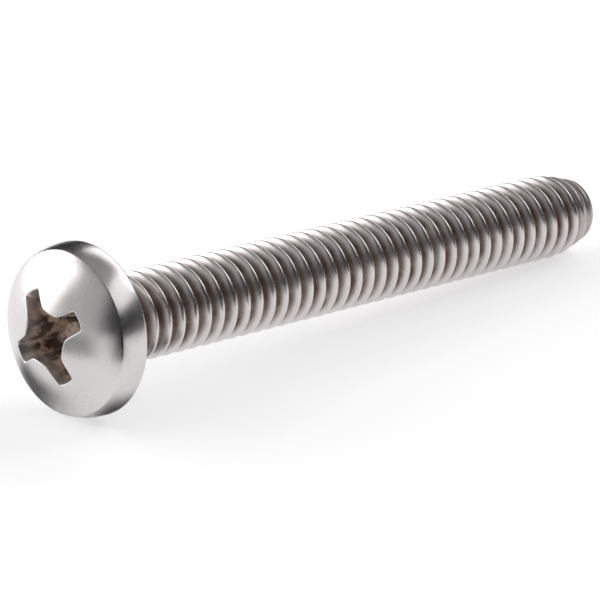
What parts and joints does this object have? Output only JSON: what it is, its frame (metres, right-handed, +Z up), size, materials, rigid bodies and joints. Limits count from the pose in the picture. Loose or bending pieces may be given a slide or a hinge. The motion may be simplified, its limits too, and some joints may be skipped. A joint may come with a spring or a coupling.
{
  "type": "pan head machine screw",
  "caption": "Pan head machine screw with a cross recess, threaded along its whole shank up to a short plain neck.",
  "frame": {"origin": "centre of the bearing face under the head", "axes": "+X along the shank towards the tip, level with the floor, +Z up; the screw lies on the rim of its head and its last full thread"},
  "size_m": [0.055, 0.0122, 0.0121],
  "materials": {
    "stainless_steel": "bright stainless steel, darker in the valleys of the thread and in the recess"
  },
  "bodies": {
    "root": {"machine_screw": "stainless_steel"}
  },
  "joints": []
}
